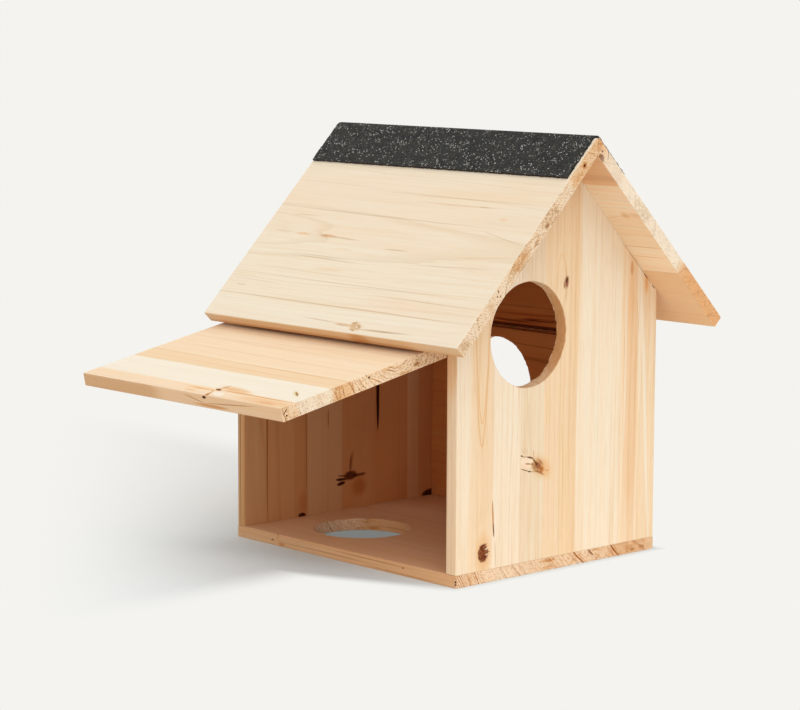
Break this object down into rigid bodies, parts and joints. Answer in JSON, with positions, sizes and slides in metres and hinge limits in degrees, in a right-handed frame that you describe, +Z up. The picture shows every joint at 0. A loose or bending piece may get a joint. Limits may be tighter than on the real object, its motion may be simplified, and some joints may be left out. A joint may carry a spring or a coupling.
{
  "type": "squirrel house",
  "caption": "Wooden squirrel nest house with a gable roof, felt over the ridge, round openings in gable, side wall and floor, and a side flap that swings up on pivot nails.",
  "frame": {"origin": "centre of the floor board's underside, on the ground", "axes": "+Z up; -Y out of the entrance gable; -X out of the side that the flap closes; the ridge runs along Y"},
  "size_m": [0.3581, 0.2535, 0.2903],
  "materials": {
    "fir_floor": "unplaned fir, bare, brownish in the shade, grain along Y",
    "fir_entrance_wall": "planed fir, bare, upright grain with orange heartwood bands and small knots",
    "fir_rear_wall": "planed fir, bare, upright grain",
    "fir_side_wall": "planed fir, bare, grain along Y",
    "fir_roof": "planed fir, bare and pale, grain along the ridge",
    "mineral_felt": "black bitumen felt with mineral granules",
    "fir_flap": "planed fir, bare, an orange heartwood band and pale sapwood at the outer edge",
    "nail_steel": "bright wire nail",
    "pin_steel": "headless pin"
  },
  "bodies": {
    "house": {"floor_board": "fir_floor", "entrance_wall": "fir_entrance_wall", "rear_wall": "fir_rear_wall", "side_wall_lower_board": "fir_side_wall", "side_wall_upper_board": "fir_side_wall", "flap_side_roof_board": "fir_roof", "far_side_roof_board": "fir_roof", "ridge_felt": "mineral_felt", "entrance_pivot_nail": "nail_steel", "rear_pivot_nail": "nail_steel", "entrance_wall_floor_pins": "pin_steel", "rear_wall_floor_pins": "pin_steel", "side_wall_floor_pins": "pin_steel", "entrance_wall_side_pins": "pin_steel", "rear_wall_side_pins": "pin_steel", "flap_side_roof_pins": "pin_steel", "far_side_roof_pins": "pin_steel"},
    "flap": {"side_flap": "fir_flap"}
  },
  "joints": [
    {"name": "flap_hinge", "type": "hinge", "parent": "house", "child": "flap", "pos_m": [-0.0905, 0, 0.155], "axis": [0, -1, 0], "range_deg": [-4.14, 78.59]}
  ]
}
